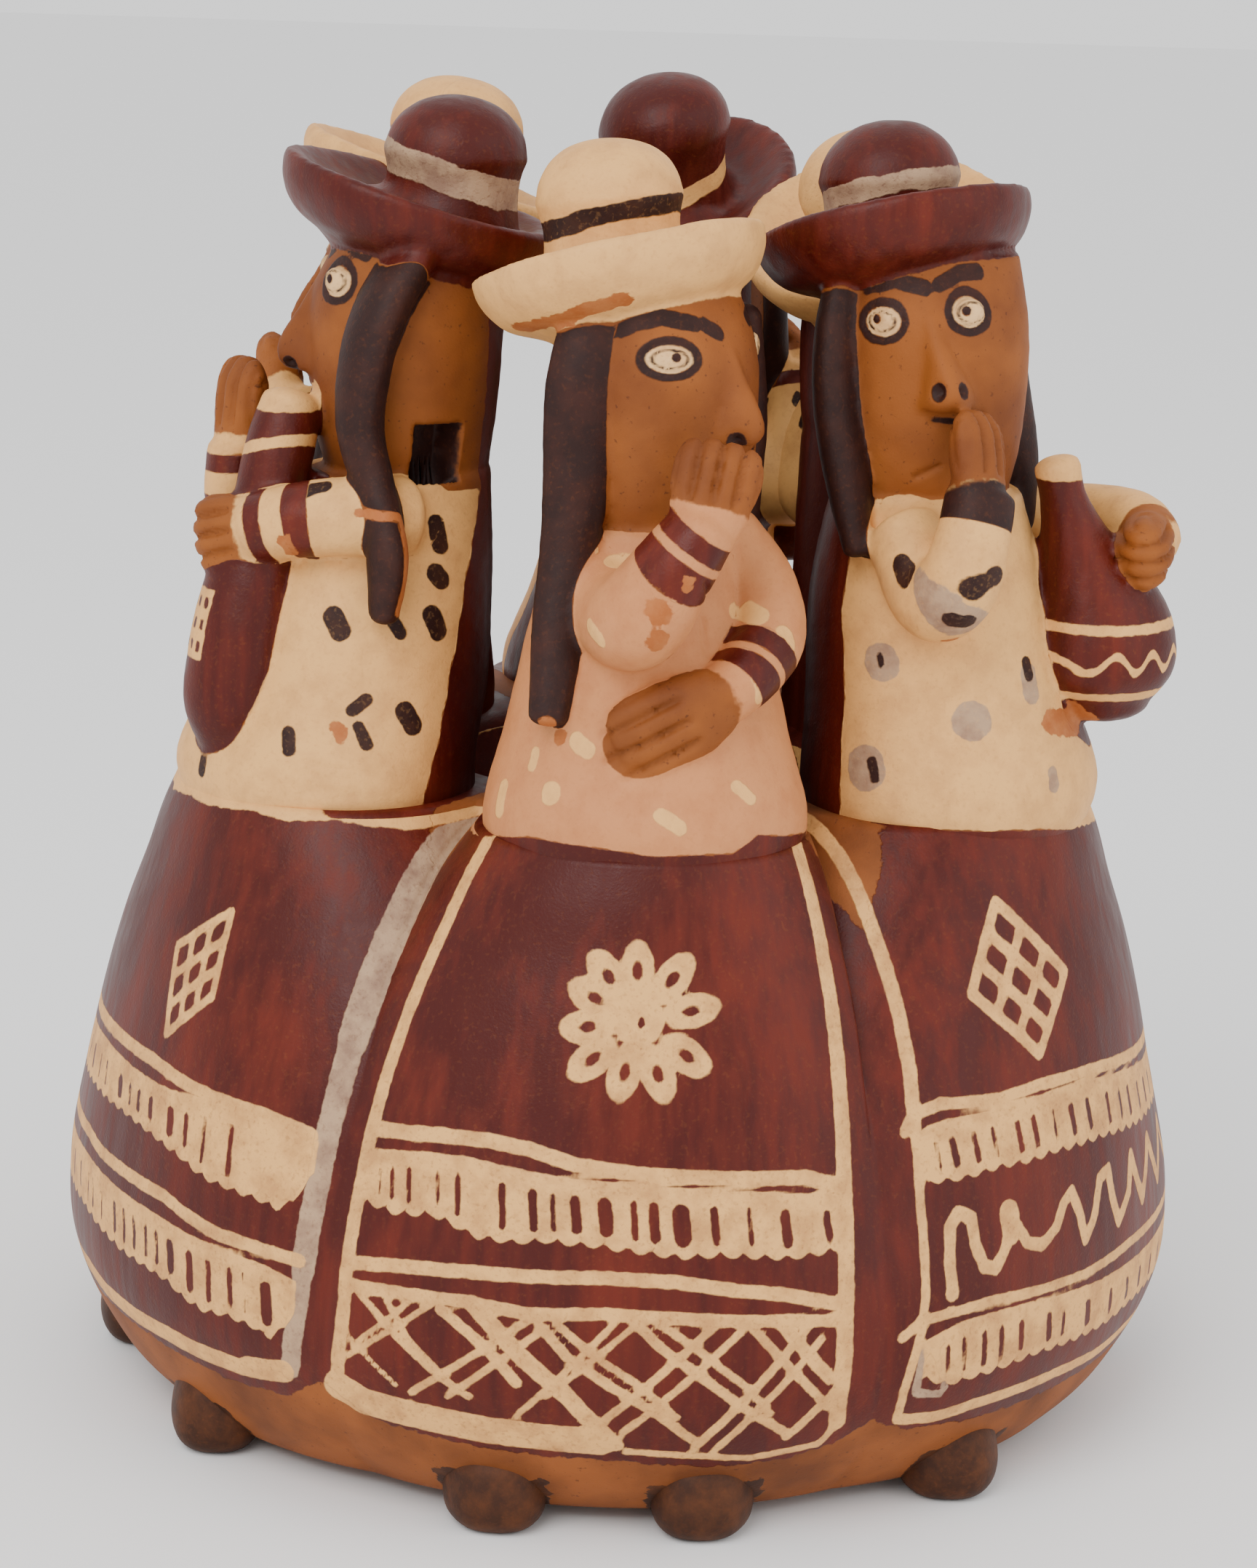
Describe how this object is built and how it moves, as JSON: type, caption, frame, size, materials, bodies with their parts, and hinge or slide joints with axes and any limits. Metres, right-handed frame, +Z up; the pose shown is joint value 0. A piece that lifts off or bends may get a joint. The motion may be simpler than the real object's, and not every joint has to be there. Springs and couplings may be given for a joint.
{
  "type": "ceramic folk figurine group",
  "caption": "Painted folk pottery group: women in brimmed hats stand back to back in a ring and share one bell-shaped skirt on small knob feet.",
  "frame": {"origin": "middle of the ring of women, on the surface that the feet stand on", "axes": "+Z up; -Y is the side with the cream-hatted woman who faces the camera; +X is the side of the woman with the jug"},
  "size_m": [0.1736, 0.1753, 0.201],
  "materials": {
    "ceramic": "burnished red-brown slip with cream, grey and dark painted ornament, soft sheen"
  },
  "bodies": {
    "root": {"figurine": "ceramic"}
  },
  "joints": []
}
